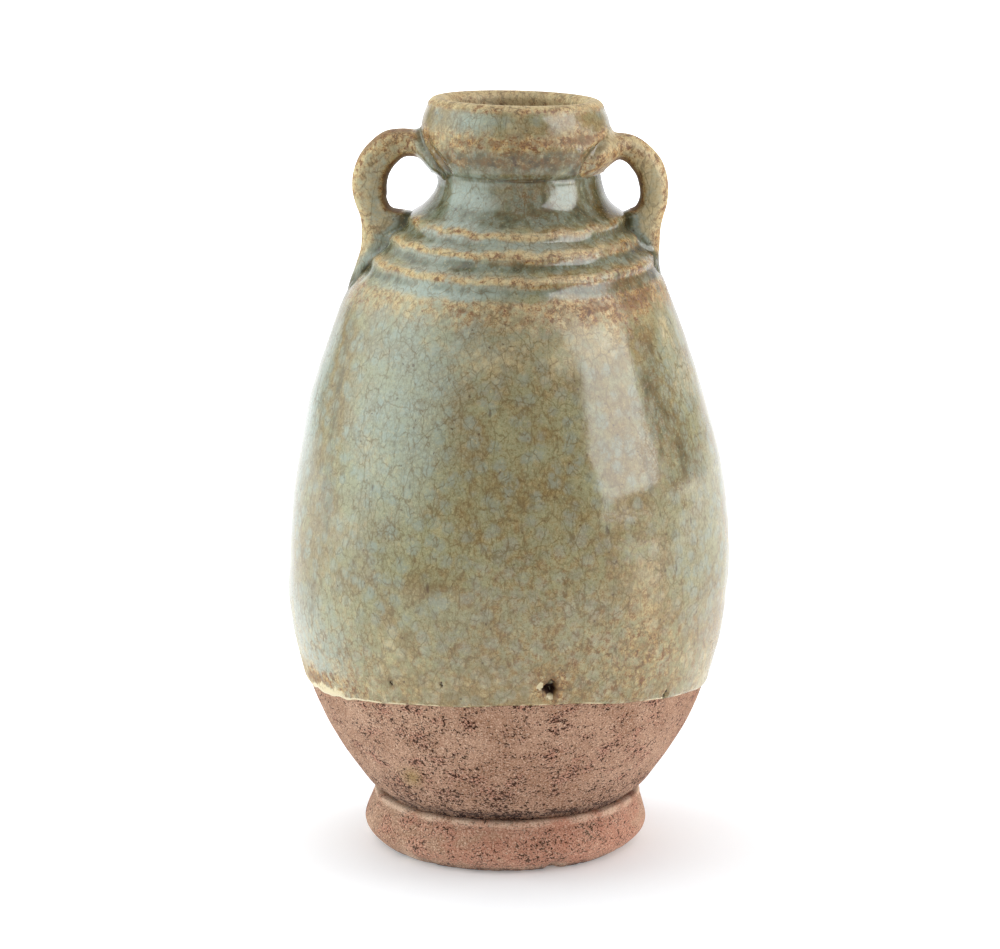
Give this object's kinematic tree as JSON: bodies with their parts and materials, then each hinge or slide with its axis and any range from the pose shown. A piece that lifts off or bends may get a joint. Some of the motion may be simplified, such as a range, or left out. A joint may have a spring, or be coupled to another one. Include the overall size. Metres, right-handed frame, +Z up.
{
  "type": "two-handled vase",
  "caption": "Small stoneware bottle vase with a ridged shoulder, cup mouth, looped handles, crackled green glaze and a bare clay foot.",
  "frame": {"origin": "centre of the plane that the foot ring rests on, under the middle of the bounding box", "axes": "+Z up along the pot's axis, +X towards the handle on the right of the picture, -Y towards the front"},
  "size_m": [0.0882, 0.0882, 0.1502],
  "materials": {
    "clay": "matte",
    "glaze": "gloss"
  },
  "bodies": {
    "root": {"foot_ring": "clay", "body": "clay", "neck": "clay", "mouth_cup": "clay", "handle_left": "clay", "handle_right": "clay", "glaze_coat": "glaze", "glaze_handle_left": "glaze", "glaze_handle_right": "glaze"}
  },
  "joints": []
}
